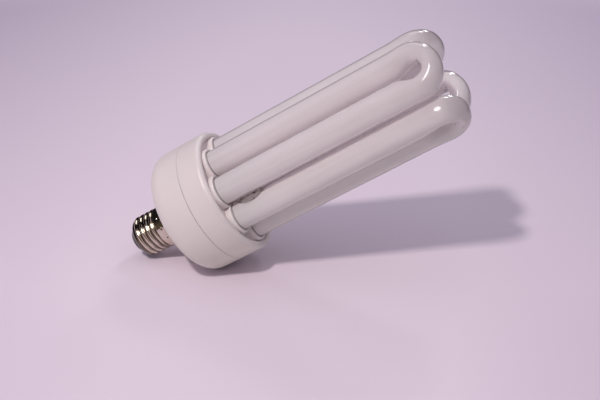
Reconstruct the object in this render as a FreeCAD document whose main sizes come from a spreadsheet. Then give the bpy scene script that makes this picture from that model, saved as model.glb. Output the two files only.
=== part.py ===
"""Self-ballasted compact fluorescent lamp with four U-bent tubes and an Edison screw cap.

The frame stands on the face of the centre contact: +Z runs along the lamp from the cap to the tubes,
and the first U-tube faces -Y.
"""
import FreeCAD, Part
import math
import os
import re
import Sketcher

# Millimetres. Every name that ends in _z is a height above the face of the centre contact.
SIZES = {
    # screw cap
    "contact_radius": 4.6,
    "contact_height": 1.4,
    "contact_edge": 0.9,
    "eyelet_radius": 2.0,
    "eyelet_top_z": 8.0,
    "insulator_foot_radius": 7.2,
    "insulator_edge": 0.6,
    "insulator_top_z": 9.0,
    "shell_bottom_z": 4.8,
    "shell_mouth_radius": 9.9,
    "shell_round": 2.2,
    "shell_wall": 0.4,
    "thread_root_radius": 12.2,
    "thread_crest_radius": 13.1,
    "thread_ridge_radius": 1.3,
    "thread_pitch": 3.629,
    "thread_runout": 3.4,
    "skirt_bottom_z": 22.0,
    "skirt_radius": 13.15,
    "shell_top_z": 28.5,
    "crimp_radius": 0.7,
    "crimp_depth": 0.25,
    "crimp_drop": 2.9,
    "crimp_count": 12,
    # ballast housing
    "housing_radius": 39.0,
    "housing_wall": 1.8,
    "seam_z": 60.8,
    "seam_round": 0.3,
    "neck_bottom_z": 18.5,
    "neck_wall": 1.6,
    "neck_clearance": 0.1,
    "shoulder_radius": 14.3,
    "shoulder_round": 0.8,
    "bowl_slope": 0.5,
    "bowl_round": 10.0,
    "lip_height": 2.5,
    "lip_step": 1.0,
    "lip_clearance": 0.1,
    "front_z": 76.4,
    "front_round": 2.6,
    "rim_width": 3.6,
    "recess_depth": 2.0,
    "recess_slope": 1.7,
    "recess_round": 0.7,
    "plate_thickness": 2.2,
    "collar_height": 1.6,
    "collar_wall": 1.6,
    "collar_round": 0.6,
    "collar_flare": 0.8,
    "collar_foot": 1.0,
    "sleeve_depth": 5.7,
    "tube_clearance": 0.25,
    # glass
    "tube_radius": 8.5,
    "leg_gap": 1.0,
    "neighbour_gap": 1.67,
    "leg_sink": 11.9,
    "tip_z": 225.5,
    "bend_spread": 1.9,
    "bend_start_narrowing": 1.8,
    "bend_apex_narrowing": 2.9,
    "bend_apex_flattening": 0.4,
    "spread_length": 12.0,
    "bridge_rise": 13.7,
    "bridge_length": 15.0,
    "bridge_width": 8.4,
    "joint_clearance": 0.05,
    # circuit board, carried by ribs of the lower housing
    "board_radius": 33.5,
    "board_thickness": 1.6,
    "board_drop": 6.8,
    "rib_height": 7.0,
    "rib_thickness": 1.6,
    "rib_shelf": 2.5,
    "rib_count": 4,
    # parts that hang below the board, with the middle of each at _x and _y
    "smoothing_radius": 6.5,
    "smoothing_length": 19.0,
    "smoothing_x": -12.0,
    "smoothing_y": 0.0,
    "choke_length": 20.0,
    "choke_depth": 8.0,
    "choke_height": 14.0,
    "choke_leg": 4.0,
    "choke_yoke": 3.0,
    "choke_x": 0.0,
    "choke_y": 18.0,
    "winding_bulge": 3.0,
    "winding_clearance": 0.2,
    "resonant_length": 13.0,
    "resonant_depth": 6.0,
    "resonant_height": 11.0,
    "resonant_x": 17.0,
    "resonant_y": -17.0,
    "coupling_length": 18.0,
    "coupling_depth": 7.0,
    "coupling_height": 12.0,
    "coupling_x": -2.0,
    "coupling_y": -20.0,
    "transistor_depth": 4.5,
    "transistor_width": 10.0,
    "transistor_height": 12.0,
    "transistor_x": 25.0,
    "transistor_spacing": 12.0,
    "toroid_radius": 5.0,
    "toroid_bore": 2.5,
    "toroid_height": 5.0,
    "toroid_x": 16.0,
    "toroid_y": 0.0,
    "diode_radius": 1.35,
    "diode_length": 5.2,
    "diode_x": -24.0,
    "diode_column_gap": 4.0,
    "diode_row_gap": 8.0,
    "resistor_radius": 1.75,
    "resistor_length": 9.0,
    "resistor_x": -17.0,
    "resistor_y": -11.0,
    "filter_radius": 4.0,
    "filter_height": 10.0,
    "filter_x": -18.0,
    "filter_y": 14.0,
    # wires
    "lead_radius": 0.8,
    "neutral_x": 8.6,
    "neutral_bend": 2.0,
    "neutral_end_z": 10.5,
    "filament_wire_radius": 0.3,
    "filament_wire_gap": 3.0,
}
BOARD_Z = "(seam_z - board_drop)"
PLATE_Z = "(front_z - recess_depth)"
COLLAR_TOP_Z = "(front_z + collar_height)"
LEG_BOTTOM_Z = "(front_z - leg_sink)"
HALF_PITCH = "(tube_radius + leg_gap / 2)"
TUBE_RING = "(tube_radius + leg_gap / 2 + (2 * tube_radius + neighbour_gap) / sqrt(2))"
HALF_TURN_STEPS = 8
SPREAD_STEPS = 4
TUBE_COUNT = 4

doc = FreeCAD.newDocument("lamp")
sheet = doc.addObject("Spreadsheet::Sheet", "Sizes")
for row, (alias, number) in enumerate(SIZES.items(), 1):
    sheet.set(f"A{row}", alias)
    sheet.set(f"B{row}", str(number))
    sheet.setAlias(f"B{row}", alias)
doc.recompute()
nodes = []


def bound(text):
    """Turn a formula of size names into an expression on the sheet's cells."""
    return re.sub(r"[a-z_]+", lambda word: f"Sizes.{word[0]}" if word[0] in SIZES else word[0], str(text))


def value(text):
    """Work a formula out as a plain number."""
    number = sheet.evalExpression(bound(text))
    return float(getattr(number, "Value", number))


def bind(thing, **formulas):
    """Bind properties to formulas; x, y and z stand for the place."""
    places = {"x": "Placement.Base.x", "y": "Placement.Base.y", "z": "Placement.Base.z"}
    for name, text in formulas.items():
        thing.setExpression(places.get(name, name), bound(text))
    return thing


def node(thing, label):
    """Keep an object as a sub-part under its own name."""
    thing.Label = label
    nodes.append(thing)
    return thing


def primitive(kind, name, **formulas):
    """Add a Part primitive with bound sizes and place."""
    return bind(doc.addObject(f"Part::{kind}", name), **formulas)


def fused(name, pieces):
    joined = doc.addObject("Part::MultiFuse", name)
    joined.Shapes = pieces
    return joined


def cut(name, base, tool):
    remainder = doc.addObject("Part::Cut", name)
    remainder.Base = base
    remainder.Tool = tool
    return remainder


def new_body(name):
    return doc.addObject("PartDesign::Body", name)


def plane_sketch(body, name, role, height=None):
    """Start a sketch on one of the body's origin planes, raised to a height where one is given."""
    sketch = body.newObject("Sketcher::SketchObject", name)
    sketch.AttachmentSupport = (next(f for f in body.Origin.OriginFeatures if f.Role == role), "")
    sketch.MapMode = "FlatFace"
    if height is not None:
        sketch.setExpression("AttachmentOffset.Base.z", bound(height))
    return sketch


def held(sketch, kind, text, *where):
    """Add a sketch dimension that follows a formula."""
    index = sketch.addConstraint(Sketcher.Constraint(kind, *where, value(text)))
    sketch.setExpression(f"Constraints[{index}]", bound(text))


def pinned(sketch, geometry, vertex, corner):
    """Hold a sketch point at its distances from the sketch's origin."""
    held(sketch, "DistanceX", corner[0], -1, 1, geometry, vertex)
    held(sketch, "DistanceY", corner[1], -1, 1, geometry, vertex)


def outline_sketch(body, name, corners, role="XZ_Plane", height=None, closed=True):
    """Draw lines through corners; a third entry of a corner is the radius of its round."""
    sketch = plane_sketch(body, name, role, height)
    points = [FreeCAD.Vector(value(c[0]), value(c[1]), 0) for c in corners]
    count = len(points)
    starts, ends = list(points), list(points)
    for i, corner in enumerate(corners):
        if len(corner) == 3:
            before = (points[i - 1] - points[i]).normalize()
            after = (points[(i + 1) % count] - points[i]).normalize()
            reach = value(corner[2]) / math.tan(before.getAngle(after) / 2)
            ends[i] = points[i] + before * reach
            starts[i] = points[i] + after * reach
    lines = count if closed else count - 1
    for i in range(lines):
        sketch.addGeometry(Part.LineSegment(starts[i], ends[(i + 1) % count]))
    for i, corner in enumerate(corners):
        line_in, line_out = (i - 1) % count, i
        if len(corner) == 2:
            if closed or 0 < i < count - 1:
                sketch.addConstraint(Sketcher.Constraint("Coincident", line_in, 2, line_out, 1))
            vertex = (line_in, 2) if i == lines else (line_out, 1)
            pinned(sketch, *vertex, corner)
            continue
        middle = (ends[i] + starts[i]) * 0.5
        inward = (middle - points[i]).normalize()
        radius = value(corner[2])
        centre = points[i] + inward * math.hypot(radius, (ends[i] - points[i]).Length)
        arc = sketch.addGeometry(Part.Arc(ends[i], centre - inward * radius, starts[i]))
        first, last = (1, 2) if (sketch.getPoint(arc, 1) - ends[i]).Length < 1e-6 else (2, 1)
        sketch.addConstraint(Sketcher.Constraint("Tangent", line_in, 2, arc, first))
        sketch.addConstraint(Sketcher.Constraint("Tangent", line_out, 1, arc, last))
        held(sketch, "Radius", corner[2], arc)
        mark = sketch.addGeometry(Part.Point(points[i]), True)
        pinned(sketch, mark, 1, corner)
        sketch.addConstraint(Sketcher.Constraint("PointOnObject", mark, 1, line_in))
        sketch.addConstraint(Sketcher.Constraint("PointOnObject", mark, 1, line_out))
    return sketch


def circle_sketch(body, name, x, y, radius, role="XY_Plane", height=None):
    sketch = plane_sketch(body, name, role, height)
    centre = FreeCAD.Vector(value(x), value(y), 0)
    sketch.addGeometry(Part.Circle(centre, FreeCAD.Vector(0, 0, 1), value(radius)))
    pinned(sketch, 0, 3, (x, y))
    held(sketch, "Radius", radius, 0)
    return sketch


def revolved(body, name, corners, kind="Revolution"):
    """Turn an outline round the lamp's axis."""
    turned = body.newObject(f"PartDesign::{kind}", name)
    turned.Profile = outline_sketch(body, f"{name}_outline", corners)
    turned.ReferenceAxis = (turned.Profile[0], ["V_Axis"])
    turned.Angle = 360
    return turned


def extruded(body, name, sketch, length, kind="Pad", reverse=False):
    block = body.newObject(f"PartDesign::{kind}", name)
    block.Profile = sketch
    block.setExpression("Length", bound(length))
    block.Reversed = reverse
    return block


def repeated(body, name, features, count):
    """Repeat features evenly round the lamp's axis."""
    pattern = body.newObject("PartDesign::PolarPattern", name)
    pattern.Originals = features
    pattern.Axis = (next(f for f in body.Origin.OriginFeatures if f.Role == "Z_Axis"), [""])
    pattern.Angle = 360
    pattern.setExpression("Occurrences", bound(count))
    body.Tip = pattern
    return pattern


def centre_contact():
    """Soldered contact button with the eyelet that carries the live lead."""
    body = new_body("contact")
    bore = "lead_radius + joint_clearance"
    revolved(body, "button", [
        ("0", "0"), ("contact_radius", "0", "contact_edge"), ("contact_radius", "contact_height"),
        ("eyelet_radius", "contact_height"), ("eyelet_radius", "eyelet_top_z"),
        (bore, "eyelet_top_z"), (bore, "contact_height"), ("0", "contact_height")])
    node(body, "centre_contact")


def base_insulator():
    """Black glass moulded round the eyelet and into the turned-in mouth of the shell."""
    body = new_body("insulator")
    mouth = "shell_mouth_radius - joint_clearance"
    inside = "thread_root_radius - shell_wall - joint_clearance"
    floor_z = "shell_bottom_z + shell_wall + joint_clearance"
    revolved(body, "moulding", [
        ("eyelet_radius + joint_clearance", "contact_height"),
        ("insulator_foot_radius", "contact_height", "insulator_edge"),
        (mouth, "shell_bottom_z"), (mouth, floor_z), (inside, floor_z, "shell_round - shell_wall"),
        (inside, "insulator_top_z"), ("eyelet_radius + joint_clearance", "insulator_top_z")])
    node(body, "base_insulator")


def screw_shell():
    """Rolled sheet shell with a round helical thread, a plain skirt and punched crimps."""
    body = new_body("shell")
    core = "shell_mouth_radius"
    revolved(body, "blank", [
        (core, "shell_bottom_z"), ("thread_root_radius", "shell_bottom_z", "shell_round"),
        ("thread_root_radius", "skirt_bottom_z"), ("skirt_radius", "skirt_bottom_z"),
        ("skirt_radius", "shell_top_z"), (core, "shell_top_z")])
    start_z = "shell_bottom_z + thread_ridge_radius"
    section = circle_sketch(body, "ridge_section", "thread_crest_radius - thread_ridge_radius", start_z,
                            "thread_ridge_radius", "XZ_Plane")
    ridge = body.newObject("PartDesign::AdditiveHelix", "ridge")
    ridge.Profile = section
    ridge.ReferenceAxis = (section, ["V_Axis"])
    ridge.Mode = "pitch-height-angle"
    ridge.setExpression("Pitch", bound("thread_pitch"))
    ridge.setExpression("Height", bound(f"skirt_bottom_z - {start_z} + thread_ridge_radius / 2"))
    reach = "thread_crest_radius + shell_wall"
    revolved(body, "thread_run_in", [
        (core, "0"), (f"{reach} + thread_runout", "0"),
        (f"{reach} + thread_runout", "shell_bottom_z + 2 * thread_runout"),
        (reach, "shell_bottom_z + 2 * thread_runout"),
        (reach, "shell_bottom_z - shell_wall", "thread_runout"),
        (core, "shell_bottom_z - shell_wall")], "Groove")
    bore = "thread_root_radius - shell_wall"
    skirt_bore = "skirt_radius - shell_wall"
    floor_z = "shell_bottom_z + shell_wall"
    revolved(body, "inside", [
        ("0", floor_z), (bore, floor_z, "shell_round - shell_wall"), (bore, "skirt_bottom_z + shell_wall"),
        (skirt_bore, "skirt_bottom_z + shell_wall"), (skirt_bore, "shell_top_z + shell_wall"),
        ("0", "shell_top_z + shell_wall")], "Groove")
    dot = circle_sketch(body, "crimp_dot", "0", "shell_top_z - crimp_drop", "crimp_radius", "XZ_Plane")
    dot.setExpression("AttachmentOffset.Base.z", bound("skirt_radius - crimp_depth"))
    crimp = extruded(body, "crimp", dot, "2 * crimp_depth", "Pocket", reverse=True)
    repeated(body, "crimps", [crimp], "crimp_count")
    node(body, "screw_shell")


def lower_housing():
    """Moulded bowl: its neck plugs into the shell and its rim lip into the tube cover."""
    body = new_body("bowl")
    slope = "sqrt(1 + bowl_slope ^ 2)"
    neck_out = "thread_root_radius - shell_wall - neck_clearance"
    neck_in = f"{neck_out} - neck_wall"
    skirt_out = "skirt_radius - shell_wall - neck_clearance"
    step_z = "skirt_bottom_z + shell_wall + neck_clearance"
    rise = "shell_top_z + bowl_slope * (housing_radius - shoulder_radius)"
    inside = "housing_radius - housing_wall"
    inner_rise = f"{rise} + housing_wall * ({slope} - bowl_slope)"
    inner_neck = f"shell_top_z + bowl_slope * ({neck_in} - shoulder_radius) + housing_wall * {slope}"
    revolved(body, "bowl_wall", [
        (neck_in, "neck_bottom_z"), (neck_out, "neck_bottom_z"), (neck_out, step_z), (skirt_out, step_z),
        (skirt_out, "shell_top_z"), ("shoulder_radius", "shell_top_z", "shoulder_round"),
        ("housing_radius", rise, "bowl_round"), ("housing_radius", "seam_z", "seam_round"),
        ("housing_radius - lip_step", "seam_z"), ("housing_radius - lip_step", "seam_z + lip_height"),
        (inside, "seam_z + lip_height"), (inside, inner_rise, "bowl_round - housing_wall"),
        (neck_in, inner_neck)])
    shelf = "board_radius - rib_shelf"
    rib = outline_sketch(body, "rib_outline", [
        (shelf, "-rib_thickness / 2"), (f"{inside} + housing_wall / 2", "-rib_thickness / 2"),
        (f"{inside} + housing_wall / 2", "rib_thickness / 2"), (shelf, "rib_thickness / 2")],
        "XY_Plane", "seam_z - board_drop - rib_height")
    repeated(body, "ribs", [extruded(body, "rib", rib, "rib_height")], "rib_count")
    node(body, "lower_housing")


def leg_places():
    """Give the sideways place of the first tube's two legs, which stand TUBE_RING towards -Y."""
    return [("left", f"-{HALF_PITCH}"), ("right", HALF_PITCH)]


def turned_at_leg(body, name, x, corners, kind="Revolution"):
    """Turn an outline round the axis of one of the first tube's legs; corners count from that axis."""
    outline = outline_sketch(body, f"{name}_outline", [(f"{x} + {c[0]}", *c[1:]) for c in corners])
    outline.setExpression("AttachmentOffset.Base.z", bound(TUBE_RING))
    low, high = FreeCAD.Vector(value(x), 0, 0), FreeCAD.Vector(value(x), value(COLLAR_TOP_Z), 0)
    axis = outline.addGeometry(Part.LineSegment(low, high), True)
    pinned(outline, axis, 1, (x, "0"))
    pinned(outline, axis, 2, (x, COLLAR_TOP_Z))
    turned = body.newObject(f"PartDesign::{kind}", name)
    turned.Profile = outline
    turned.ReferenceAxis = (outline, [f"Axis{outline.AxisCount - 1}"])
    turned.Angle = 360
    return turned


def upper_housing():
    """Moulded tube cover: a round rim, a sunk plate, and a flared collar with a sleeve round each leg."""
    body = new_body("cover")
    inside = "housing_radius - housing_wall"
    step = "housing_radius - lip_step + lip_clearance"
    step_z = "seam_z + lip_height + lip_clearance"
    under_z = f"{PLATE_Z} - plate_thickness"
    crest = "housing_radius - rim_width"
    revolved(body, "cover_wall", [
        (step, "seam_z"), ("housing_radius", "seam_z", "seam_round"),
        ("housing_radius", "front_z", "front_round"), (crest, "front_z", "recess_round"),
        (f"{crest} - recess_slope", PLATE_Z, "recess_round"), ("0", PLATE_Z), ("0", under_z),
        (inside, under_z, "front_round - housing_wall"), (inside, step_z), (step, step_z)])
    hole = "tube_radius + tube_clearance"
    outside = f"{hole} + collar_wall"
    foot = f"{outside} + collar_foot"
    sleeve_z = f"{under_z} - sleeve_depth"
    collars = [turned_at_leg(body, f"{name}_collar", x, [
        ("0", sleeve_z), (outside, sleeve_z), (outside, under_z), (foot, under_z), (foot, PLATE_Z),
        (outside, PLATE_Z, "collar_flare"), (outside, COLLAR_TOP_Z, "collar_round"), ("0", COLLAR_TOP_Z)])
        for name, x in leg_places()]
    repeated(body, "collars", collars, TUBE_COUNT)
    low_z = f"{sleeve_z} - collar_wall"
    over_z = f"{COLLAR_TOP_Z} + collar_wall"
    holes = [turned_at_leg(body, f"{name}_hole", x, [
        ("0", low_z), (hole, low_z), (hole, COLLAR_TOP_Z, "collar_round"), (foot, COLLAR_TOP_Z),
        (foot, over_z), ("0", over_z)], "Groove") for name, x in leg_places()]
    repeated(body, "holes", holes, TUBE_COUNT)
    node(body, "upper_housing")


def u_tube(number):
    """Bent glass tube: two straight legs with round closed ends and a narrowed, slightly spread bend."""
    name = f"u_tube_{number}"
    bend = f"({HALF_PITCH} + bend_spread)"
    start_radius = "(tube_radius - bend_start_narrowing)"
    apex_radius = "(tube_radius - bend_apex_narrowing)"
    bend_z = f"tip_z - {bend} - {apex_radius}"
    sections = []

    def section(y, z, in_plane, across, lean):
        oval = primitive("Ellipse", f"{name}_section", MajorRadius=across, MinorRadius=in_plane, y=y, z=z)
        oval.Placement.Rotation = FreeCAD.Rotation(FreeCAD.Vector(1, 0, 0), 0)
        oval.setExpression("Placement.Rotation.Axis.x", "1")
        oval.setExpression("Placement.Rotation.Angle", bound(lean))
        sections.append(oval)

    def spread_section(share, side):
        eased = share ** 2 * (3 - 2 * share)
        slant = 6 * share * (1 - share)
        offset = f"({HALF_PITCH} + bend_spread * {eased})"
        lean = f"atan(bend_spread * {slant} / spread_length)"
        section(f"{side} * {offset}", f"{bend_z} - spread_length * {1 - share}",
                f"tube_radius - bend_start_narrowing * {eased}", "tube_radius",
                f"-{lean}" if side > 0 else f"180 deg + {lean}")

    shares = [step / SPREAD_STEPS for step in range(SPREAD_STEPS)]
    for share in shares:
        spread_section(share, 1)
    for step in range(HALF_TURN_STEPS + 1):
        turn = 180 * step / HALF_TURN_STEPS
        narrowed = math.sin(math.radians(turn)) ** 2
        section(f"{bend} * cos({turn} deg)", f"{bend_z} + {bend} * sin({turn} deg)",
                f"{start_radius} - ({start_radius} - {apex_radius}) * {narrowed}",
                f"tube_radius - bend_apex_flattening * {narrowed}", f"{turn} deg")
    for share in reversed(shares):
        spread_section(share, -1)
    half_turn = doc.addObject("Part::Loft", f"{name}_bend")
    half_turn.Sections = sections
    half_turn.Solid = True
    pieces = [half_turn]
    for side in (1, -1):
        foot = {"Radius": "tube_radius", "y": f"{side} * {HALF_PITCH}", "z": f"{LEG_BOTTOM_Z} + tube_radius"}
        straight = f"{bend_z} - spread_length - {LEG_BOTTOM_Z} - tube_radius"
        pieces.append(primitive("Cylinder", f"{name}_leg", Height=straight, **foot))
        pieces.append(primitive("Sphere", f"{name}_end", **foot))
    tube = fused(name, pieces)
    turn = 360 / TUBE_COUNT * (number - 1)
    tube.Placement.Rotation = FreeCAD.Rotation(FreeCAD.Vector(0, 0, 1), turn - 90)
    bind(tube, x=f"{TUBE_RING} * sin({turn} deg)", y=f"-{TUBE_RING} * cos({turn} deg)")
    node(tube, name)


def glass_bridge(number):
    """Short clear neck that joins a tube's second leg to the next tube's first leg."""
    name = f"glass_bridge_{number}"
    half_gap = "(tube_radius + neighbour_gap / 2)"
    oval = primitive("Ellipse", f"{name}_oval", MajorRadius="bridge_length / 2",
                     MinorRadius="bridge_width / 2")
    oval.Placement.Rotation = FreeCAD.Rotation(FreeCAD.Vector(0, 1, 0), -90)
    neck = primitive("Extrusion", f"{name}_neck", LengthFwd=half_gap, LengthRev=half_gap)
    neck.Base = oval
    neck.DirMode = "Normal"
    neck.Solid = True
    legs = [primitive("Cylinder", f"{name}_leg", Radius="tube_radius + joint_clearance",
                      Height="2 * bridge_length", x=f"{side} * {half_gap}", z="-bridge_length")
            for side in (1, -1)]
    bridge = cut(name, neck, fused(f"{name}_legs", legs))
    turn = 360 / TUBE_COUNT * (number - 1) - 45
    middle = f"({TUBE_RING} + {HALF_PITCH}) / sqrt(2)"
    bridge.Placement.Rotation = FreeCAD.Rotation(FreeCAD.Vector(0, 0, 1), turn + 90)
    bind(bridge, x=f"{middle} * cos({turn} deg)", y=f"{middle} * sin({turn} deg)",
         z=f"{COLLAR_TOP_Z} + bridge_rise")
    node(bridge, name)


def circuit_board():
    """Round board that rests on the ribs of the lower housing."""
    node(primitive("Cylinder", "board", Radius="board_radius", Height="board_thickness", z=BOARD_Z),
         "circuit_board")


def hung_block(part, length, depth, height, x, y):
    """Add a block that hangs below the board, by its middle."""
    return primitive("Box", part, Length=length, Width=depth, Height=height, x=f"{x} - ({length}) / 2",
                     y=f"{y} - ({depth}) / 2", z=f"{BOARD_Z} - {height}")


def hung_drum(part, radius, height, x, y):
    """Add an upright drum that hangs below the board."""
    return primitive("Cylinder", part, Radius=radius, Height=height, x=x, y=y, z=f"{BOARD_Z} - {height}")


def lying_drum(part, radius, length, x, y, along):
    """Add a drum that lies against the board along X or Y, by its middle."""
    drum = primitive("Cylinder", part, Radius=radius, Height=length, z=f"{BOARD_Z} - {radius}",
                     x=f"{x} - {length} / 2" if along == "x" else x,
                     y=f"{y} + {length} / 2" if along == "y" else y)
    axis = FreeCAD.Vector(0, 1, 0) if along == "x" else FreeCAD.Vector(1, 0, 0)
    drum.Placement.Rotation = FreeCAD.Rotation(axis, 90)
    return drum


def choke():
    """Output choke: a ferrite core with two windows, and the coil round its middle leg."""
    window = "(choke_length / 2 - choke_leg)"
    window_height = "(choke_height - 2 * choke_yoke)"
    core = hung_block("choke_blank", "choke_length", "choke_depth", "choke_height", "choke_x", "choke_y")
    windows = [primitive("Box", "choke_window", Length=window, Width="2 * choke_depth", Height=window_height,
                         x=f"choke_x - {window} / 2 + {side} * (choke_leg + {window}) / 2",
                         y="choke_y - choke_depth", z=f"{BOARD_Z} - choke_height + choke_yoke")
               for side in (1, -1)]
    node(cut("core", core, fused("choke_windows", windows)), "choke_core")
    play = "winding_clearance"
    coil = primitive("Box", "coil_blank", Length=f"choke_leg + 2 * {window} - 2 * {play}",
                     Width="choke_depth + 2 * winding_bulge", Height=f"{window_height} - 2 * {play}",
                     x=f"choke_x - choke_leg / 2 - {window} + {play}",
                     y="choke_y - choke_depth / 2 - winding_bulge",
                     z=f"{BOARD_Z} - choke_height + choke_yoke + {play}")
    leg = primitive("Box", "coil_bore", Length=f"choke_leg + 2 * {play}", Width=f"choke_depth + 2 * {play}",
                    Height="choke_height", x=f"choke_x - choke_leg / 2 - {play}",
                    y=f"choke_y - choke_depth / 2 - {play}", z=f"{BOARD_Z} - choke_height")
    node(cut("coil", coil, leg), "choke_winding")


def board_parts():
    """The other parts of the ballast circuit, each seated on the underside of the board."""
    node(hung_drum("smoothing", "smoothing_radius", "smoothing_length", "smoothing_x", "smoothing_y"),
         "smoothing_capacitor")
    for kind in ("resonant", "coupling"):
        node(hung_block(kind, f"{kind}_length", f"{kind}_depth", f"{kind}_height", f"{kind}_x", f"{kind}_y"),
             f"{kind}_capacitor")
    for number, side in ((1, 1), (2, -1)):
        node(hung_block("transistor", "transistor_depth", "transistor_width", "transistor_height",
                        "transistor_x", f"{side} * transistor_spacing / 2"), f"transistor_{number}")
    ring = hung_drum("toroid_blank", "toroid_radius", "toroid_height", "toroid_x", "toroid_y")
    bore = hung_drum("toroid_hole", "toroid_bore", "toroid_height", "toroid_x", "toroid_y")
    node(cut("toroid", ring, bore), "drive_transformer")
    diodes = doc.addObject("Part::Compound", "diodes")
    diodes.Links = [lying_drum("diode", "diode_radius", "diode_length",
                               f"diode_x + {column} * diode_column_gap / 2",
                               f"{row} * diode_row_gap / 2", "y")
                    for column in (1, -1) for row in (1, -1)]
    node(diodes, "rectifier_diodes")
    node(lying_drum("resistor", "resistor_radius", "resistor_length", "resistor_x", "resistor_y", "x"),
         "fusible_resistor")
    node(hung_drum("filter", "filter_radius", "filter_height", "filter_x", "filter_y"), "filter_choke")


def wires():
    """Cap leads from the board to the contact and the shell, and filament wires from the two end legs."""
    node(primitive("Cylinder", "live", Radius="lead_radius", Height=f"{BOARD_Z} - contact_height",
                   z="contact_height"), "live_lead")
    body = new_body("neutral")
    wall = "thread_root_radius - shell_wall - joint_clearance"
    path = outline_sketch(body, "neutral_path", [
        ("neutral_x", BOARD_Z), ("neutral_x", "neutral_end_z", "neutral_bend"), (wall, "neutral_end_z")],
        closed=False)
    pipe = body.newObject("PartDesign::AdditivePipe", "neutral_wire")
    pipe.Profile = circle_sketch(body, "neutral_section", "neutral_x", "0", "lead_radius", height=BOARD_Z)
    pipe.Spine = path
    node(body, "neutral_lead")
    board_top = f"({BOARD_Z} + board_thickness)"
    filaments = doc.addObject("Part::Compound", "filaments")
    filaments.Links = [
        primitive("Cylinder", "filament", Radius="filament_wire_radius",
                  Height=f"{LEG_BOTTOM_Z} - {board_top}", x=f"{x} + {side} * filament_wire_gap / 2", y=y,
                  z=board_top)
        for x, y in ((f"-{HALF_PITCH}", f"-{TUBE_RING}"), (f"-{TUBE_RING}", f"-{HALF_PITCH}"))
        for side in (1, -1)]
    node(filaments, "filament_wires")


centre_contact()
base_insulator()
screw_shell()
lower_housing()
upper_housing()
for tube_number in range(1, TUBE_COUNT + 1):
    u_tube(tube_number)
for bridge_number in range(1, TUBE_COUNT):
    glass_bridge(bridge_number)
circuit_board()
choke()
board_parts()
wires()

doc.recompute()
failed = [thing.Name for thing in doc.Objects if {"Invalid", "Error"} & set(thing.State)]
failed += [thing.Label for thing in nodes if thing.Shape.isNull() or not thing.Shape.isValid()]
if failed:
    raise RuntimeError(f"these objects failed: {failed}")
os.makedirs("parts", exist_ok=True)
for thing in nodes:
    thing.Shape.exportStep(f"parts/{thing.Label}.step")
    print(thing.Label, len(thing.Shape.Solids), round(thing.Shape.Volume, 1))
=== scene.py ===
"""Looks of a screw-in compact fluorescent lamp with four U-bent tubes, built round its CAD frame.

The lamp's own sizes are in millimetres. The camera, the table and the lights are placed in metres.
"""
import math

import bmesh
import bpy
from mathutils import Matrix, Vector


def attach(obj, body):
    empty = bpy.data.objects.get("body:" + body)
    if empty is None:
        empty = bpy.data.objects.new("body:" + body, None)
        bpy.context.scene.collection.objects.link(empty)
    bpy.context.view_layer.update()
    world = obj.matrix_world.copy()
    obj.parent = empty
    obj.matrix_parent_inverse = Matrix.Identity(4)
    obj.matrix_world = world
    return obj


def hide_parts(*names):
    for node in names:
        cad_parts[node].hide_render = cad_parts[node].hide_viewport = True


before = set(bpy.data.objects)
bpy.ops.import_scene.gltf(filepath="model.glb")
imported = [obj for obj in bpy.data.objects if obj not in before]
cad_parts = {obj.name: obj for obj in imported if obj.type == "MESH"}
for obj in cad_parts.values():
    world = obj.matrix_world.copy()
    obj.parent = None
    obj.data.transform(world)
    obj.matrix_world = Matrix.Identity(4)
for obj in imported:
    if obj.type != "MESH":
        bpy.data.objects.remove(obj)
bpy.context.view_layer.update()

# Bent tubes.
# Each is a soft-glass tube, bent to a U over a mandrel, coated inside with white phosphor powder and sealed.
# The heat narrows the bend and spreads it a little, so the slot between the legs ends in a keyhole.
MM = 0.001
TUBE_RADIUS = 8.5
HALF_PITCH = 9.0
NEIGHBOUR_GAP = 1.67
TUBE_RING = HALF_PITCH + (2 * TUBE_RADIUS + NEIGHBOUR_GAP) / math.sqrt(2)
BEND_SPREAD = 1.9
BEND_START_NARROWING = 1.8
BEND_APEX_NARROWING = 2.9
BEND_APEX_FLATTENING = 0.4
SPREAD_LENGTH = 12.0
TUBE_TIP_Z = 225.45
LEG_BOTTOM_Z = 64.5
COLLAR_TOP_Z = 78.2
TUBE_ROWS = 320
TUBE_COLUMNS = 56
ROW_CROWDING = 1.5
SEAM_WELD = 0.002
FRESH_POWDER = (0.91, 0.836, 0.843)
THIN_POWDER = (0.665, 0.603, 0.607)
PAINTED_SHADE_POWDER = (0.47, 0.415, 0.43)
PAINTED_LIGHT_POWDER = (0.97, 0.925, 0.935)
GAP_SHADOW_AND_FLECKS = (0.13, 0.11, 0.11)
PASSED_LIGHT = (0.90, 0.855, 0.87, 1.0)
GLASS_SHINE = (0.9, 0.9, 0.9, 1.0)
# Limits between which a shade of the powder grows or fades.
THIN_ALONG_LEG = (80.0, 200.0)
THIN_AT_BEND = (190.0, 220.0)
PAINTED_SHADE_TOP = (213.0, 223.5)
PAINTED_SHADE_TUBES = (2.0, 9.0)
INNER_PAINTED_LIGHT = (17.0, 22.5)
SLOT_EDGE = (2.6, 4.6)
KEYHOLE_BOTTOM = (210.0, 212.5)
KEYHOLE_TOP = (214.6, 215.2)
FOOT_GAP_SHADOW_EDGE = (0.15, 0.5)


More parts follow.
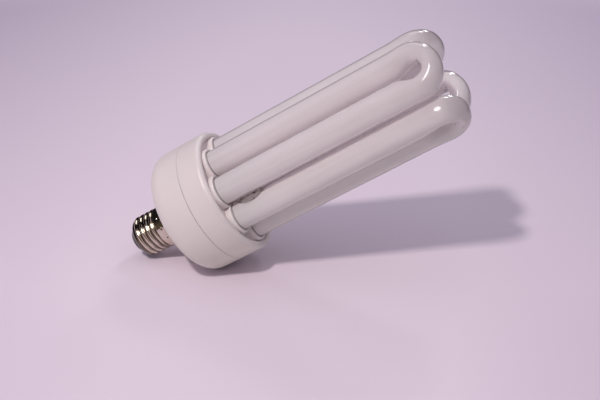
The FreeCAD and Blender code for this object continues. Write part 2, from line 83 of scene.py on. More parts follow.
class Wire:
    """A node socket that takes part in sums; each operator adds one Math node to its graph."""

    def __init__(self, graph, socket):
        self.graph = graph
        self.socket = socket

    def sum(self, operation, *terms):
        return self.graph.node("ShaderNodeMath", {"operation": operation}, dict(enumerate(terms)))

    def __add__(self, other):
        return self.sum("ADD", self, other)

    def __radd__(self, other):
        return self.sum("ADD", other, self)

    def __sub__(self, other):
        return self.sum("SUBTRACT", self, other)

    def __rsub__(self, other):
        return self.sum("SUBTRACT", other, self)

    def __mul__(self, other):
        return self.sum("MULTIPLY", self, other)

    def __rmul__(self, other):
        return self.sum("MULTIPLY", other, self)

    def __truediv__(self, other):
        return self.sum("DIVIDE", self, other)

    def __rtruediv__(self, other):
        return self.sum("DIVIDE", other, self)

    def __abs__(self):
        return self.sum("ABSOLUTE", self)

    def __pow__(self, other):
        return self.sum("POWER", self, other)

    def sin(self):
        return self.sum("SINE", self)

    def cos(self):
        return self.sum("COSINE", self)

    def sign(self):
        return self.sum("SIGN", self)

    def least(self, other):
        return self.sum("MINIMUM", self, other)

    def fraction(self):
        return self.sum("FRACT", self)

    def between(self, low, high, smooth=False):
        """Rise from 0 at low to 1 at high, held outside them."""
        kind = "SMOOTHSTEP" if smooth else "LINEAR"
        return self.graph.node("ShaderNodeMapRange", {"interpolation_type": kind, "clamp": True},
                               {"Value": self, "From Min": low, "From Max": high})


class Graph:
    """A node tree, with one method that adds a node of any kind."""

    def __init__(self, tree):
        self.tree = tree

    def node(self, kind, settings=None, sockets=None, output=0):
        added = self.tree.nodes.new(kind)
        for name, setting in (settings or {}).items():
            setattr(added, name, setting)
        for name, value in (sockets or {}).items():
            if isinstance(value, Wire):
                self.tree.links.new(value.socket, added.inputs[name])
            else:
                added.inputs[name].default_value = value
        return Wire(self, added.outputs[output])

    def blend(self, share, first, second):
        """Mix two colours."""
        ends = [end if isinstance(end, Wire) else (*end, 1.0) for end in (first, second)]
        return self.node("ShaderNodeMix", {"data_type": "RGBA"}, {0: share, 6: ends[0], 7: ends[1]}, 2)

    def vectors(self, operation, first, second=(0.0, 0.0, 0.0), output="Vector"):
        """Work on vectors: a difference, a length, a dot product."""
        return self.node("ShaderNodeVectorMath", {"operation": operation}, {0: first, 1: second}, output)


class Finish(Graph):
    """A material whose sums run on Object coordinates and feed a Principled surface."""

    def __init__(self, name, **constants):
        self.material = bpy.data.materials.new(name)
        self.material.use_nodes = True
        super().__init__(self.material.node_tree)
        self.surface = self.tree.nodes["Principled BSDF"]
        for socket, value in constants.items():
            self.surface.inputs[socket.replace("_", " ")].default_value = value
        self.place = self.node("ShaderNodeTexCoord", output="Object")

    def axes(self):
        """Give the three coordinates in millimetres."""
        return [self.node("ShaderNodeSeparateXYZ", None, {0: self.place}, axis) / MM for axis in "XYZ"]

    def noise(self, scale, detail=2.0, stretch=None, roughness=0.5):
        place = self.place
        if stretch:
            place = self.node("ShaderNodeMapping", None, {"Vector": place, "Scale": stretch})
        return self.node("ShaderNodeTexNoise", None, {
            "Vector": place, "Scale": scale, "Detail": detail, "Roughness": roughness})

    def relief(self, height, depth):
        """Give the surface a bump of that depth, in millimetres, for a height from 0 to 1."""
        bump = self.node("ShaderNodeBump", None, {
            "Strength": 1.0, "Distance": depth * MM, "Height": height})
        self.feed(Normal=bump)

    def share(self, factor, other):
        """Give part of the surface to another shader."""
        whole = self.tree.nodes["Material Output"].inputs["Surface"]
        first = Wire(self, whole.links[0].from_socket)
        mixed = self.node("ShaderNodeMixShader", None, {0: factor, 1: first, 2: other})
        self.tree.links.new(mixed.socket, whole)

    def feed(self, **wires):
        for socket, wire in wires.items():
            self.tree.links.new(wire.socket, self.surface.inputs[socket.replace("_", " ")])


def coated_glass():
    """Clear glass over a powder that passes part of the light, thinnest at the bend, painted paler as light
    on the inner sides, painted darker as shade at the tips of the second and fourth tubes, and with a
    painted shadow where each leg enters its collar.
    """
    finish = Finish("coated_glass", Coat_Roughness=0.02, Coat_IOR=1.75, Roughness=0.8,
                    Specular_IOR_Level=0.0)
    x, y, height = finish.axes()
    runs = finish.noise(260.0, 3.0, (1.0, 1.0, 0.03))
    clouds = finish.noise(45.0)
    up_the_leg = height.between(*THIN_ALONG_LEG)
    at_the_bend = height.between(*THIN_AT_BEND)
    thin = (runs.between(0.42, 0.68) * 0.36 + clouds.between(0.35, 0.8) * 0.15
            + up_the_leg * 0.36 + at_the_bend * 0.4)
    powder = finish.blend(thin, FRESH_POWDER, THIN_POWDER)
    # Painted shade: the tips of the second and fourth tubes, which face away from the light, are painted
    # darker.
    second_and_fourth = (abs(x) - abs(y)).between(*PAINTED_SHADE_TUBES)
    tip_painted_shade = height.between(*PAINTED_SHADE_TOP, smooth=True) * second_and_fourth
    powder = finish.blend(tip_painted_shade * 0.72, powder, PAINTED_SHADE_POWDER)
    # Painted light: the inner sides of the legs, shaded by the other tubes, are painted paler; the same mask
    # lets more light pass.
    inner_painted_light = 1.0 - ((x * x + y * y) ** 0.5).between(*INNER_PAINTED_LIGHT)
    powder = finish.blend(inner_painted_light, powder, PAINTED_LIGHT_POWDER)
    in_slot = 1.0 - abs(x).least(abs(y)).between(*SLOT_EDGE)
    keyhole = in_slot * height.between(*KEYHOLE_BOTTOM) * (1.0 - height.between(*KEYHOLE_TOP))
    flecks = finish.noise(520.0, 3.0).between(0.44, 0.56)
    # Painted shadow: a dark ring round each leg where it enters its collar, for the gap between them; the
    # keyhole flecks share its colour.
    foot_gap_shadow = 1.0 - abs(height - COLLAR_TOP_Z).between(*FOOT_GAP_SHADOW_EDGE)
    shadow_and_flecks = (foot_gap_shadow + keyhole * flecks).between(0.0, 1.0)
    finish.feed(Base_Color=finish.blend(shadow_and_flecks * 0.8, powder, GAP_SHADOW_AND_FLECKS))
    finish.feed(Coat_Weight=1.0 - finish.noise(90.0, 4.0).between(0.5, 0.8) * 0.25)
    passed = finish.node("ShaderNodeBsdfTranslucent", None, {"Color": PASSED_LIGHT})
    finish.share(0.42 + inner_painted_light * 0.08 - shadow_and_flecks * 0.34, passed)
    facing = finish.node("ShaderNodeLayerWeight", None, {"Blend": 0.5}, "Facing")
    shine = finish.node("ShaderNodeBsdfGlossy", None, {"Color": GLASS_SHINE, "Roughness": 0.04})
    finish.share(facing.between(0.55, 0.92) * 0.5, shine)
    return finish.material


class Shape(Graph):
    """A Geometry Nodes tree that bends a flat grid to a rule and turns it into a plain mesh object."""

    def __init__(self, name, rows, columns, **sizes):
        self.name = name
        self.sizes = sizes
        super().__init__(bpy.data.node_groups.new(name, "GeometryNodeTree"))
        self.tree.interface.new_socket("Mesh", in_out="OUTPUT", socket_type="NodeSocketGeometry")
        for size in sizes:
            self.tree.interface.new_socket(size, in_out="INPUT", socket_type="NodeSocketFloat")
        self.inputs = self.tree.nodes.new("NodeGroupInput")
        self.grid = self.node("GeometryNodeMeshGrid", None, {
            "Size X": 1.0, "Size Y": 1.0, "Vertices X": rows, "Vertices Y": columns})
        spot = self.node("GeometryNodeInputPosition")
        self.along = self.node("ShaderNodeSeparateXYZ", None, {0: spot}, "X") + 0.5
        self.around = (self.node("ShaderNodeSeparateXYZ", None, {0: spot}, "Y") + 0.5) * math.tau

    def size(self, name):
        return Wire(self, self.inputs.outputs[name])

    def made(self, x, y, z, material):
        """Set the grid to millimetre places, close its seam, and give the finished object."""
        place = self.node("ShaderNodeCombineXYZ", None, {"X": x * MM, "Y": y * MM, "Z": z * MM})
        bent = self.node("GeometryNodeSetPosition", None, {"Geometry": self.grid, "Position": place})
        closed = self.node("GeometryNodeMergeByDistance", None, {
            "Geometry": bent, "Distance": SEAM_WELD * MM})
        smooth = self.node("GeometryNodeSetShadeSmooth", None, {"Geometry": closed})
        real = self.node("GeometryNodeRealizeInstances", None, {"Geometry": smooth})
        dressed = self.node("GeometryNodeSetMaterial", None, {"Geometry": real, "Material": material})
        self.tree.links.new(dressed.socket, self.tree.nodes.new("NodeGroupOutput").inputs[0])
        piece = bpy.data.objects.new(self.name, bpy.data.meshes.new(self.name))
        bpy.context.scene.collection.objects.link(piece)
        modifier = piece.modifiers.new("rule", "NODES")
        modifier.node_group = self.tree
        for socket in self.tree.interface.items_tree:
            if socket.in_out == "INPUT":
                modifier[socket.identifier] = self.sizes[socket.name]
        bpy.context.view_layer.update()
        evaluated = piece.evaluated_get(bpy.context.evaluated_depsgraph_get())
        mesh = bpy.data.meshes.new_from_object(evaluated)
        piece.modifiers.clear()
        piece.data = mesh
        faces = bmesh.new()
        faces.from_mesh(mesh)
        bmesh.ops.recalc_face_normals(faces, faces=faces.faces)
        faces.to_mesh(mesh)
        faces.free()
        return piece


def bent_tube(number, material):
    """Sweep an oval along half the tube from the middle of the bend to a foot, on both sides at once."""
    bend_radius = HALF_PITCH + BEND_SPREAD
    quarter = bend_radius * math.pi / 2
    bend_z = TUBE_TIP_Z - bend_radius - (TUBE_RADIUS - BEND_APEX_NARROWING)
    straight = bend_z - SPREAD_LENGTH - LEG_BOTTOM_Z - TUBE_RADIUS
    dome = TUBE_RADIUS * math.pi / 2
    leg_start = quarter + SPREAD_LENGTH
    leg_end = leg_start + straight
    shape = Shape(f"bent_tube_{number}", TUBE_ROWS, TUBE_COLUMNS, Radius=TUBE_RADIUS, Ring=TUBE_RING,
                  Turn=math.pi / 2 * (number - 1))
    radius = shape.size("Radius")
    turn = shape.size("Turn")
    side = (shape.along - 0.5).sign()
    run = abs(shape.along * 2.0 - 1.0) ** ROW_CROWDING * (leg_end + dome)
    angle = run.between(0.0, quarter) * (math.pi / 2)
    spread = run.between(quarter, leg_start)
    eased = run.between(quarter, leg_start, smooth=True)
    descent = run.between(leg_start, leg_end) * straight
    foot = run.between(leg_end, leg_end + dome) * (math.pi / 2)
    narrowed = angle.cos() * angle.cos()
    in_plane = (radius - BEND_START_NARROWING - narrowed * (BEND_APEX_NARROWING - BEND_START_NARROWING)
                + eased * BEND_START_NARROWING) * foot.cos()
    across = (radius - narrowed * BEND_APEX_FLATTENING) * foot.cos()
    out = shape.size("Ring") + across * shape.around.sin()
    rise = in_plane * shape.around.cos()
    beside = side * (bend_radius * angle.sin() - BEND_SPREAD * eased + rise * angle.sin())
    z = (bend_z + bend_radius * angle.cos() - SPREAD_LENGTH * spread - descent - radius * foot.sin()
         + rise * angle.cos())
    x = out * turn.sin() + beside * turn.cos()
    y = beside * turn.sin() - out * turn.cos()
    return shape.made(x, y, z, material)


glass_finish = coated_glass()
for tube_number in range(1, 5):
    tube = bent_tube(tube_number, glass_finish)
    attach(tube, "root")
    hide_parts(f"u_tube_{tube_number}")

# Glass bridges.
# Short necks of clear glass, blown through and fused where a hot spot on one tube met the next one.
# They join the four tubes into one discharge path, so there are three, just above the collars.
BRIDGE_Z = 91.7
BRIDGE_HALF_HEIGHT = 7.5
BRIDGE_HALF_WIDTH = 4.2
BRIDGE_FLARE = 0.3
BRIDGE_WALL = 0.9
BRIDGE_ROWS = 25
BRIDGE_COLUMNS = 64
BRIDGE_GLASS = (0.93, 0.93, 0.88)
SOOT = (0.08, 0.07, 0.06)


def clear_glass():
    """Clear glass with a wavy surface and flecks of soot from the flame."""
    finish = Finish("clear_glass", Transmission_Weight=1.0, IOR=1.5)
    flecks = finish.noise(330.0).between(0.58, 0.64)
    finish.feed(Base_Color=finish.blend(flecks * 0.85, BRIDGE_GLASS, SOOT))
    finish.feed(Roughness=finish.noise(300.0).between(0.3, 0.9) * 0.05 + 0.01)
    finish.relief(finish.noise(200.0, 1.0), 0.3)
    return finish.material


def bridge(number, material):
    """Draw an oval neck from one leg's wall to the next one's, flared where it is fused to them."""
    to_leg_axis = TUBE_RADIUS + NEIGHBOUR_GAP / 2
    middle = (TUBE_RING + HALF_PITCH) / math.sqrt(2)
    shape = Shape(f"fused_bridge_{number}", BRIDGE_ROWS, BRIDGE_COLUMNS, Flare=BRIDGE_FLARE,
                  Turn=math.radians(90 * (number - 1) - 45))
    turn = shape.size("Turn")
    run = shape.along * 2.0 - 1.0
    swell = 1.0 + shape.size("Flare") * abs(run) ** 3.0
    depth = swell * shape.around.sin() * BRIDGE_HALF_WIDTH
    reach = to_leg_axis - (TUBE_RADIUS ** 2 - depth * depth) ** 0.5
    beside = run * reach
    out = middle + depth
    z = BRIDGE_Z + swell * shape.around.cos() * BRIDGE_HALF_HEIGHT
    x = out * turn.cos() - beside * turn.sin()
    y = out * turn.sin() + beside * turn.cos()
    neck = shape.made(x, y, z, material)
    wall = neck.modifiers.new("wall", "SOLIDIFY")
    wall.thickness = BRIDGE_WALL * MM
    wall.offset = -1.0
    return neck


bridge_finish = clear_glass()
for bridge_number in range(1, 4):
    neck = bridge(bridge_number, bridge_finish)
    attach(neck, "root")
    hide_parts(f"glass_bridge_{bridge_number}")

# Ballast housing.
# Two mouldings of warm-white plastic: a bowl, and a tube cover with a collar round each leg, snapped
# together at the seam. Both keep a fine spark-eroded grain, faint sink marks and a little handling dirt.
SEAM_Z = 60.8
SEAM_DIRT_EDGE = (0.08, 0.3)
PAINTED_HIGHLIGHT_RISE = (74.6, 76.2)
PLASTIC = (0.70, 0.61, 0.608)
SHADED_PLASTIC = (0.665, 0.578, 0.578)
PAINTED_HIGHLIGHT_PLASTIC = (0.82, 0.735, 0.745)
PLASTIC_DIRT = (0.42, 0.36, 0.34)


def moulded_plastic():
    """Slightly clouded plastic, with a painted highlight that makes the front edge and collars paler, and
    dirt in the seam.
    """
    finish = Finish("moulded_plastic", IOR=1.46, Subsurface_Weight=0.06, Subsurface_Scale=2.0 * MM,
                    Subsurface_Radius=(1.0, 0.8, 0.7))
    height = finish.axes()[2]
    clouds = finish.noise(28.0, 3.0)
    specks = finish.noise(420.0).between(0.72, 0.8)
    scuffs = finish.noise(90.0, 5.0, (1.0, 1.0, 0.25), 0.65).between(0.62, 0.78)
    clean = finish.blend(clouds.between(0.3, 0.75), PLASTIC, SHADED_PLASTIC)
    # Painted highlight: the front edge and the collars above it are painted paler, where they catch the
    # light.
    clean = finish.blend(height.between(*PAINTED_HIGHLIGHT_RISE) * 0.6, clean, PAINTED_HIGHLIGHT_PLASTIC)
    seam = 1.0 - abs(height - SEAM_Z).between(*SEAM_DIRT_EDGE)
    finish.feed(Base_Color=finish.blend(specks * 0.25 + scuffs * 0.10 + seam * 0.6, clean, PLASTIC_DIRT))
    finish.feed(Roughness=finish.noise(140.0, 3.0).between(0.3, 0.8) * 0.12 + scuffs * 0.1 + 0.36)
    finish.relief(finish.noise(2600.0, 1.0) * 0.6 + finish.noise(60.0, 1.0) * 0.8, 0.035)
    return finish.material


def dress(node, material):
    """Give a CAD node a finish."""
    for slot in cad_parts[node].material_slots:
        slot.material = material


housing_finish = moulded_plastic()
for moulding in ("lower_housing", "upper_housing"):
    dress(moulding, housing_finish)

# Ballast circuit.
# A round phenolic board on ribs inside the bowl, with its parts below and their wires to the cap and the
# tubes. All of it is closed in by the housing.


def plain_finish(name, colour, second, roughness, scale, metallic=0.0):
    """A finish mottled between two near colours, with an uneven sheen."""
    finish = Finish(name, Metallic=metallic)
    grain = finish.noise(scale, 3.0)
    finish.feed(Base_Color=finish.blend(grain.between(0.3, 0.7), colour, second))
    finish.feed(Roughness=grain * 0.2 + roughness)
    finish.relief(grain, 0.03)
    return finish.material


inner_finishes = {
    ("circuit_board",): ("phenolic_board", (0.52, 0.36, 0.18), (0.44, 0.29, 0.13), 0.5, 300.0),
    ("choke_core", "drive_transformer", "filter_choke"): (
        "ferrite", (0.09, 0.09, 0.10), (0.13, 0.13, 0.13), 0.55, 900.0),
    ("smoothing_capacitor",): ("shrink_sleeve", (0.03, 0.04, 0.08), (0.05, 0.06, 0.11), 0.25, 200.0),
    ("resonant_capacitor", "coupling_capacitor"): (
        "dipped_resin", (0.42, 0.09, 0.04), (0.36, 0.07, 0.03), 0.2, 150.0),
    ("transistor_1", "transistor_2", "rectifier_diodes"): (
        "moulded_epoxy", (0.02, 0.02, 0.02), (0.04, 0.04, 0.04), 0.5, 900.0),
    ("fusible_resistor",): ("resistor_lacquer", (0.36, 0.46, 0.40), (0.30, 0.40, 0.35), 0.4, 400.0),
    ("live_lead", "neutral_lead"): ("lead_sleeve", (0.45, 0.03, 0.03), (0.38, 0.02, 0.02), 0.35, 300.0),
    ("choke_winding",): ("enamelled_copper", (0.62, 0.27, 0.12), (0.50, 0.20, 0.09), 0.2, 700.0, 1.0),
    ("filament_wires",): ("bare_wire", (0.55, 0.54, 0.50), (0.45, 0.44, 0.42), 0.3, 700.0, 1.0),
}
for dressed_nodes, recipe in inner_finishes.items():
    inner_finish = plain_finish(*recipe)
    for dressed_node in dressed_nodes:
        dress(dressed_node, inner_finish)

# Cap insulator and contact.
# Black glass is pressed hot into the mouth of the shell, round a brass eyelet. The live lead comes out
# through the eyelet and is closed in with a mound of solder, which makes the centre contact.
TURNED_STEPS = 96
MOUND_PROFILE = [
    (0.0, 0.03), (0.9, 0.04), (1.7, 0.1), (2.4, 0.22), (2.9, 0.42), (3.1, 0.62), (3.3, 0.7), (3.9, 0.72),
    (4.35, 0.78), (4.55, 0.92), (4.6, 1.1), (4.6, 1.4), (2.0, 1.4), (2.0, 8.0), (0.0, 8.0)]
RIPPLE_START = 0.5
RIPPLE_END = 4.4
THREE_LOBES = 0.05
FIVE_LOBES = 0.035
LOBE_TURN = 0.7
LOBE_TWIST = 2.1
BLACK_GLASS = (0.012, 0.011, 0.013)
SWIRLED_GLASS = (0.035, 0.030, 0.034)
DULL_SOLDER = (0.50, 0.49, 0.47)
BRIGHT_SOLDER = (0.66, 0.65, 0.62)


def pressed_glass():
    """Near-black glass with a faint swirl and a pressed, uneven face."""
    finish = Finish("pressed_glass", IOR=1.52)
    swirl = finish.noise(220.0, 3.0)
    finish.feed(Base_Color=finish.blend(swirl, BLACK_GLASS, SWIRLED_GLASS))
    finish.feed(Roughness=swirl.between(0.4, 0.8) * 0.15 + 0.06)
    finish.relief(finish.noise(180.0), 0.12)
    return finish.material


def solder():
    """Grey metal with a frosted, crystalline face."""
    finish = Finish("solder", Metallic=1.0)
    crystals = finish.noise(700.0, 3.0)
    finish.feed(Base_Color=finish.blend(crystals, DULL_SOLDER, BRIGHT_SOLDER))
    finish.feed(Roughness=crystals.between(0.3, 0.7) * 0.25 + 0.22)
    finish.relief(finish.noise(520.0), 0.06)
    return finish.material


def solder_ripple(radius, angle):
    """A frozen solder mound is never quite round; its lobes only rise from the profile."""
    if not RIPPLE_START < radius < RIPPLE_END:
        return 0.0
    three = THREE_LOBES * math.sin(3 * angle + LOBE_TURN)
    five = FIVE_LOBES * math.sin(5 * angle + LOBE_TWIST * radius)
    return three + five + THREE_LOBES + FIVE_LOBES


def turned(name, profile, material, wobble):
    """Turn a profile of (radius, height) in millimetres round the lamp's axis; its ends lie on the axis."""
    rim = bmesh.new()
    rings = []
    for radius, height in profile:
        if radius == 0.0:
            rings.append([rim.verts.new((0.0, 0.0, height * MM))] * TURNED_STEPS)
            continue
        ring = []
        for step in range(TURNED_STEPS):
            angle = math.tau * step / TURNED_STEPS
            lifted = height + wobble(radius, angle)
            spot = Vector((radius * math.cos(angle), radius * math.sin(angle), lifted))
            ring.append(rim.verts.new(spot * MM))
        rings.append(ring)
    for low, high in zip(rings, rings[1:]):
        for step in range(TURNED_STEPS):
            after = (step + 1) % TURNED_STEPS
            corners = list(dict.fromkeys((low[step], low[after], high[after], high[step])))
            rim.faces.new(corners).smooth = True
    bmesh.ops.recalc_face_normals(rim, faces=rim.faces)
    mesh = bpy.data.meshes.new(name)
    rim.to_mesh(mesh)
    rim.free()
    mesh.materials.append(material)
    piece = bpy.data.objects.new(name, mesh)
    bpy.context.scene.collection.objects.link(piece)
    return piece


dress("base_insulator", pressed_glass())
contact = turned("solder_contact", MOUND_PROFILE, solder(), solder_ripple)
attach(contact, "root")
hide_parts("centre_contact")

# Screw shell.
# Thin brass sheet, drawn to a cup, rolled with a round Edison thread, nickel plated and crimped to the neck
# of the bowl by a ring of punch marks in its plain skirt.
SHELL_BOTTOM_Z = 4.8
SHELL_TOP_Z = 28.5
SHELL_ROUND = 2.2
SHELL_WALL = 0.4
SHELL_ROWS = 210
SHELL_COLUMNS = 217
THREAD_ROOT = 12.2
THREAD_CREST = 13.1
THREAD_PITCH = 3.629
THREAD_START_Z = 6.1
THREAD_RUN_IN = (5.4, 8.6)
THREAD_RUN_OUT = (20.4, 21.6)
SKIRT_RADIUS = 13.15
SKIRT_RISE = (21.5, 22.3)
CRIMP_Z = 25.6
CRIMP_COUNT = 12
CRIMP_DEPTH = 0.3
CRIMP_EDGE = (0.3, 0.85)
ROOT_SHADE = (12.22, 12.65)
CRIMP_SHADE = (12.88, 13.08)
CRIMP_SHADE_START = (23.6, 24.0)
NICKEL = (0.72, 0.65, 0.56)
STAINED_NICKEL = (0.62, 0.535, 0.435)
NICKEL_SHADE = (0.07, 0.05, 0.03)


def nickel_plate():
    """Bright plating with faint rolling lines, a few stains, and painted shade in the thread roots and punch
    marks.
    """
    finish = Finish("nickel_plate", Metallic=1.0)
    x, y, z = finish.axes()
    radius = (x * x + y * y) ** 0.5
    # Painted shade and dark reflection: the thread roots and the punch marks are painted dark.
    root = 1.0 - radius.between(*ROOT_SHADE, smooth=True)
    pit = (1.0 - radius.between(*CRIMP_SHADE)) * z.between(*CRIMP_SHADE_START)
    lines = finish.noise(60.0, 3.0, (1.0, 1.0, 40.0))
    stains = finish.noise(120.0, 4.0)
    bright = finish.blend(stains.between(0.35, 0.75), NICKEL, STAINED_NICKEL)
    finish.feed(Base_Color=finish.blend(root * 0.85 + pit, bright, NICKEL_SHADE))
    finish.feed(Roughness=lines * 0.04 + stains.between(0.4, 0.8) * 0.05 + root * 0.10 + 0.04)
    finish.relief(lines, 0.003)
    return finish.material


def screw_shell(material):
    """Raise a right-hand thread on a rounded cup, with a plain skirt above it and punch marks round that."""
    shape = Shape("screw_thread_shell", SHELL_ROWS, SHELL_COLUMNS, Pitch=THREAD_PITCH,
                  Crimps=float(CRIMP_COUNT))
    quarter = SHELL_ROUND * math.pi / 2
    wall = SHELL_TOP_Z - SHELL_BOTTOM_Z - SHELL_ROUND
    run = shape.along * (quarter + wall)
    turn_in = run.between(0.0, quarter) * (math.pi / 2)
    rise = run.between(quarter, quarter + wall) * wall
    z = SHELL_BOTTOM_Z + SHELL_ROUND - SHELL_ROUND * turn_in.cos() + rise
    phase = (z - THREAD_START_Z) / shape.size("Pitch") * math.tau - shape.around
    half_depth = (THREAD_CREST - THREAD_ROOT) / 2
    arc_reach = THREAD_PITCH / 4
    arc_radius = (arc_reach ** 2 + half_depth ** 2) / (2 * half_depth)
    off_crest = abs((phase / math.tau + 0.5).fraction() - 0.5) * THREAD_PITCH - arc_reach
    off_end = arc_reach - abs(off_crest)
    arc = arc_radius - (arc_radius ** 2 - off_end * off_end) ** 0.5
    ridge = half_depth - off_crest.sign() * (half_depth - arc)
    run_in = z.between(*THREAD_RUN_IN, smooth=True)
    run_out = 1.0 - z.between(*THREAD_RUN_OUT, smooth=True)
    thread = ridge * run_in * run_out
    skirt = z.between(*SKIRT_RISE, smooth=True) * (SKIRT_RADIUS - THREAD_ROOT)
    step = math.tau / shape.size("Crimps")
    offset = (shape.around / step + 0.5).fraction() - 0.5
    beside = offset * step * SKIRT_RADIUS
    above = z - CRIMP_Z
    dent = 1.0 - ((beside * beside + above * above) ** 0.5).between(*CRIMP_EDGE, smooth=True)
    radius = THREAD_ROOT - SHELL_ROUND + SHELL_ROUND * turn_in.sin() + thread + skirt - CRIMP_DEPTH * dent
    shell = shape.made(radius * shape.around.cos(), radius * shape.around.sin(), z, material)
    sheet_wall = shell.modifiers.new("sheet", "SOLIDIFY")
    sheet_wall.thickness = SHELL_WALL * MM
    sheet_wall.offset = -1.0
    return shell


shell = screw_shell(nickel_plate())
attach(shell, "root")
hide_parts("screw_shell")

# Camera.
# The lamp lies tilted on a pale table, so in the lamp's own frame it is the camera that leans over.
CAMERA_PLACE = Vector((0.278641, -0.517511, 0.321965))
CAMERA_RIGHT = Vector((0.27739, 0.47196, 0.83685))
CAMERA_UP = Vector((-0.86799, -0.25032, 0.42888))
CAMERA_LENS = 63.03
CAMERA_SENSOR = 36.0
camera_back = CAMERA_RIGHT.cross(CAMERA_UP)
camera = bpy.data.objects.new("camera", bpy.data.cameras.new("camera"))
camera.data.lens = CAMERA_LENS
camera.data.sensor_width = CAMERA_SENSOR
camera.matrix_world = Matrix((CAMERA_RIGHT, CAMERA_UP, camera_back)).transposed().to_4x4()
camera.location = CAMERA_PLACE
bpy.context.scene.collection.objects.link(camera)
bpy.context.scene.camera = camera

# Table.
# A pale lilac sheet under the lamp. It is seen from above only, is painted darker towards both sides as
# light falls off, and fades out well away from the lamp. It gives a whiter light back to the lamp than its
# own colour.
TABLE_PITCH = math.radians(25.0)
TABLE_DROP = 0.0086
TABLE_HALF_SIZE = 1.6
TABLE_FADE = (0.66, 0.95)
TABLE_PAINTED_FALLOFF = (0.12, 0.38)
TABLE_NEAR_SIDE = (0.03, 0.2)
NEAR_SIDE_WEIGHT = 1.6
DEPTH_WEIGHT = 0.06
LAMP_MIDDLE = Vector((0.0, 0.0, 0.11))
LILAC = (0.725, 0.61, 0.695)
PAINTED_FALLOFF_LILAC = (0.54, 0.44, 0.54)
BOUNCED_LIGHT = (0.77, 0.737, 0.73)


def bare_material(name):
    """Give a material with nothing on its output yet, and the graph of its nodes."""
    material = bpy.data.materials.new(name)
    material.use_nodes = True
    material.node_tree.nodes.remove(material.node_tree.nodes["Principled BSDF"])
    return material, Graph(material.node_tree)


table_up = (CAMERA_UP * math.cos(TABLE_PITCH) + camera_back * math.sin(TABLE_PITCH)).normalized()
table_side = table_up.cross(CAMERA_RIGHT)
table_middle = LAMP_MIDDLE - table_up * (LAMP_MIDDLE.dot(table_up) + TABLE_DROP)
half_width = CAMERA_RIGHT * TABLE_HALF_SIZE
half_depth = table_side * TABLE_HALF_SIZE
corners = [table_middle - half_width - half_depth, table_middle + half_width - half_depth,
           table_middle + half_width + half_depth, table_middle - half_width + half_depth]
table_mesh = bpy.data.meshes.new("table")
table_mesh.from_pydata(corners, [], [(0, 1, 2, 3)])
table = bpy.data.objects.new("table", table_mesh)
bpy.context.scene.collection.objects.link(table)
table_finish, table_graph = bare_material("table")
table_place = table_graph.node("ShaderNodeTexCoord", output="Object")
outward = table_graph.vectors("SUBTRACT", table_place, table_middle)
apart = table_graph.vectors("LENGTH", outward, output="Value")
rightward = table_graph.vectors("DOT_PRODUCT", outward, CAMERA_RIGHT, "Value")
nearward = table_graph.vectors("DOT_PRODUCT", outward, -table_side, "Value")
nearness = nearward.between(*TABLE_NEAR_SIDE)
off_middle = (rightward * rightward * (1.0 + NEAR_SIDE_WEIGHT * nearness)
              + DEPTH_WEIGHT * nearward * nearward) ** 0.5
# Painted light falloff: the sheet is painted darker away from the middle, more so on the near side.
lilac = table_graph.blend(off_middle.between(*TABLE_PAINTED_FALLOFF), LILAC, PAINTED_FALLOFF_LILAC)
bounced = table_graph.node("ShaderNodeLightPath", output="Is Diffuse Ray")
shade = table_graph.blend(bounced, lilac, BOUNCED_LIGHT)
sheet = table_graph.node("ShaderNodeBsdfDiffuse", None, {"Color": shade})
nothing = table_graph.node("ShaderNodeBsdfTransparent")
behind = table_graph.node("ShaderNodeNewGeometry", output="Backfacing")
cover = (1.0 - apart.between(*TABLE_FADE, smooth=True)) * (1.0 - behind)
faded = table_graph.node("ShaderNodeMixShader", None, {0: cover, 1: nothing, 2: sheet})
table_graph.tree.links.new(faded.socket, table_graph.tree.nodes["Material Output"].inputs[0])
table_mesh.materials.append(table_finish)

# Light.
# A warm key from the camera's upper left, two small ceiling lights behind the lamp, and cool light from the
# room, mostly from the upper left. A dark dome with a ceiling and a window shows in polished surfaces only.
ROOM_RADIUS = 2.6
LIGHT_DISTANCE = 1.5
WARM_LIGHT = (1.0, 0.96, 0.92)
COOL_LIGHT = (0.96, 0.955, 1.0)
DOME_DARK = (0.012, 0.010, 0.011)
DOME_FRONT = (0.20, 0.155, 0.11)
DOME_FRONT_EDGE = (0.35, 0.98)
ROOM_DIM = (0.12, 0.12, 0.138)
ROOM_BRIGHT = (0.69, 0.69, 0.80)
BACKDROP = (0.62, 0.52, 0.63, 1.0)


def bearing(right, up, near):
    """Give a unit direction from its shares to the right, upwards and towards the camera."""
    return (CAMERA_RIGHT * right + CAMERA_UP * up + camera_back * near).normalized()


def panel(name, towards, width, height, roll, watts, colour):
    """Hang a soft rectangular light in a direction from the lamp, rolled in its own plane."""
    level = (CAMERA_RIGHT - towards * CAMERA_RIGHT.dot(towards)).normalized()
    across = Matrix.Rotation(math.radians(roll), 3, towards) @ level
    light = bpy.data.lights.new(name, "AREA")
    light.shape = "RECTANGLE"
    light.size = width
    light.size_y = height
    light.energy = watts
    light.color = colour
    fixture = bpy.data.objects.new(name, light)
    fixture.matrix_world = Matrix((across, towards.cross(across), towards)).transposed().to_4x4()
    fixture.location = LAMP_MIDDLE + towards * LIGHT_DISTANCE
    fixture.visible_camera = False
    bpy.context.scene.collection.objects.link(fixture)


panel("key", bearing(-0.31, 0.49, 0.815), 0.09, 0.13, 30.0, 12.5, WARM_LIGHT)
panel("ceiling_near", bearing(0.24, 0.90, -0.25), 0.20, 0.20, 0.0, 2.0, COOL_LIGHT)
panel("ceiling_far", bearing(0.33, 0.76, -0.52), 0.18, 0.18, 0.0, 1.6, COOL_LIGHT)

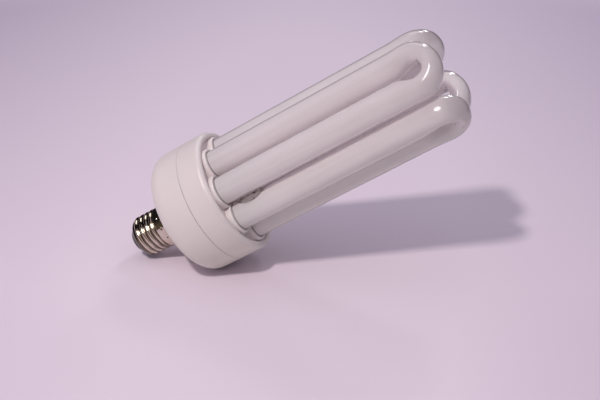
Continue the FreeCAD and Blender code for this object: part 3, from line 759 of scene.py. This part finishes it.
room_shell = bmesh.new()
bmesh.ops.create_uvsphere(room_shell, u_segments=48, v_segments=24, radius=ROOM_RADIUS)
bmesh.ops.translate(room_shell, verts=room_shell.verts, vec=LAMP_MIDDLE)
dome_mesh = bpy.data.meshes.new("dome")
room_shell.to_mesh(dome_mesh)
room_shell.free()
dome = bpy.data.objects.new("dome", dome_mesh)
bpy.context.scene.collection.objects.link(dome)
dome_finish, dome_graph = bare_material("dome")
dome_finish.cycles.emission_sampling = "NONE"
dome_place = dome_graph.node("ShaderNodeTexCoord", output="Object")
toward = dome_graph.vectors("NORMALIZE", dome_graph.vectors("SUBTRACT", dome_place, LAMP_MIDDLE))
facing = dome_graph.vectors("DOT_PRODUCT", toward, camera_back, "Value")
gloom = dome_graph.blend(facing.between(*DOME_FRONT_EDGE, smooth=True), DOME_DARK, DOME_FRONT)
ceiling = (bearing(-0.02, 0.96, -0.20), 0.96, 0.984, (2.0, 1.92, 1.84))
window = (bearing(-0.27, 0.49, 0.83), 0.966, 0.983, (12.0, 11.8, 11.6))
for aim, edge, core, glare in (ceiling, window):
    closeness = dome_graph.vectors("DOT_PRODUCT", toward, aim, "Value")
    gloom = dome_graph.blend(closeness.between(edge, core, smooth=True), gloom, glare)
glow = dome_graph.node("ShaderNodeEmission", None, {"Color": gloom, "Strength": 1.0})
dome_graph.tree.links.new(glow.socket, dome_graph.tree.nodes["Material Output"].inputs[0])
dome_mesh.materials.append(dome_finish)
dome.visible_camera = False
dome.visible_diffuse = False
dome.visible_transmission = False
dome.visible_shadow = False
dome.visible_volume_scatter = False

world = bpy.data.worlds.new("room")
world.use_nodes = True
bpy.context.scene.world = world
room = Graph(world.node_tree)
seen = room.node("ShaderNodeLightPath", output="Is Camera Ray")
mirrored = room.node("ShaderNodeLightPath", output="Is Glossy Ray")
through = room.node("ShaderNodeLightPath", output="Is Transmission Ray")
shown = (seen + mirrored + through).between(0.0, 1.0)
heading = room.node("ShaderNodeTexCoord", output="Generated")
brightest = bearing(-0.50, 0.74, 0.45)
leaning = room.vectors("DOT_PRODUCT", heading, brightest, "Value")
evenness = room.blend(leaning.between(-1.0, 1.0) ** 3.0, ROOM_DIM, ROOM_BRIGHT)
around_light = room.node("ShaderNodeBackground", None, {"Color": evenness, "Strength": 1.0})
backdrop = room.node("ShaderNodeBackground", None, {"Color": BACKDROP, "Strength": 1.0})
mixed = room.node("ShaderNodeMixShader", None, {0: shown, 1: around_light, 2: backdrop})
world.node_tree.links.new(mixed.socket, world.node_tree.nodes["World Output"].inputs[0])

bpy.context.scene.view_settings.view_transform = "Standard"
